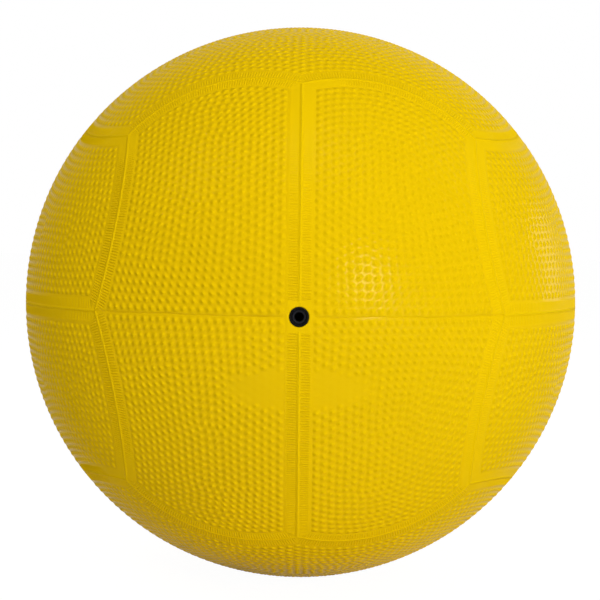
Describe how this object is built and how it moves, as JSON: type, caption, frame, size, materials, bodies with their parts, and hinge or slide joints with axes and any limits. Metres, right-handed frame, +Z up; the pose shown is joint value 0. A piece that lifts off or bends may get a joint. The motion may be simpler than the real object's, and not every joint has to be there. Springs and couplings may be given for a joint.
{
  "type": "dodgeball",
  "caption": "Moulded rubber dodgeball: five-sided pebbled cover panels with raised seams over a wound bladder, with a needle valve whose plug pulls out.",
  "frame": {"origin": "centre of the ball", "axes": "-Y points out of the valve, +Z is up with the seam through the valve upright, +X is to the right of a viewer who faces the valve"},
  "size_m": [0.19, 0.19, 0.19],
  "materials": {
    "cover": "satin moulded yellow rubber",
    "cushion": "matt tan rubber",
    "thread": "wound white nylon thread",
    "bladder": "matt black butyl rubber",
    "valve": "satin black rubber"
  },
  "bodies": {
    "ball": {"front_left_panel": "cover", "front_right_panel": "cover", "back_left_panel": "cover", "back_right_panel": "cover", "bottom_front_panel": "cover", "top_front_panel": "cover", "top_back_panel": "cover", "bottom_back_panel": "cover", "left_lower_panel": "cover", "right_upper_panel": "cover", "left_upper_panel": "cover", "right_lower_panel": "cover", "cushion_upper_half": "cushion", "cushion_lower_half": "cushion", "thread_winding": "thread", "bladder_front_half": "bladder", "bladder_rear_half": "bladder", "valve_patch": "bladder", "valve_boot": "valve"},
    "plug": {"valve_plug": "valve"}
  },
  "joints": [
    {"name": "plug_pull", "type": "slide", "parent": "ball", "child": "plug", "axis": [0, -1, 0], "range_m": [0, 0.016]}
  ]
}
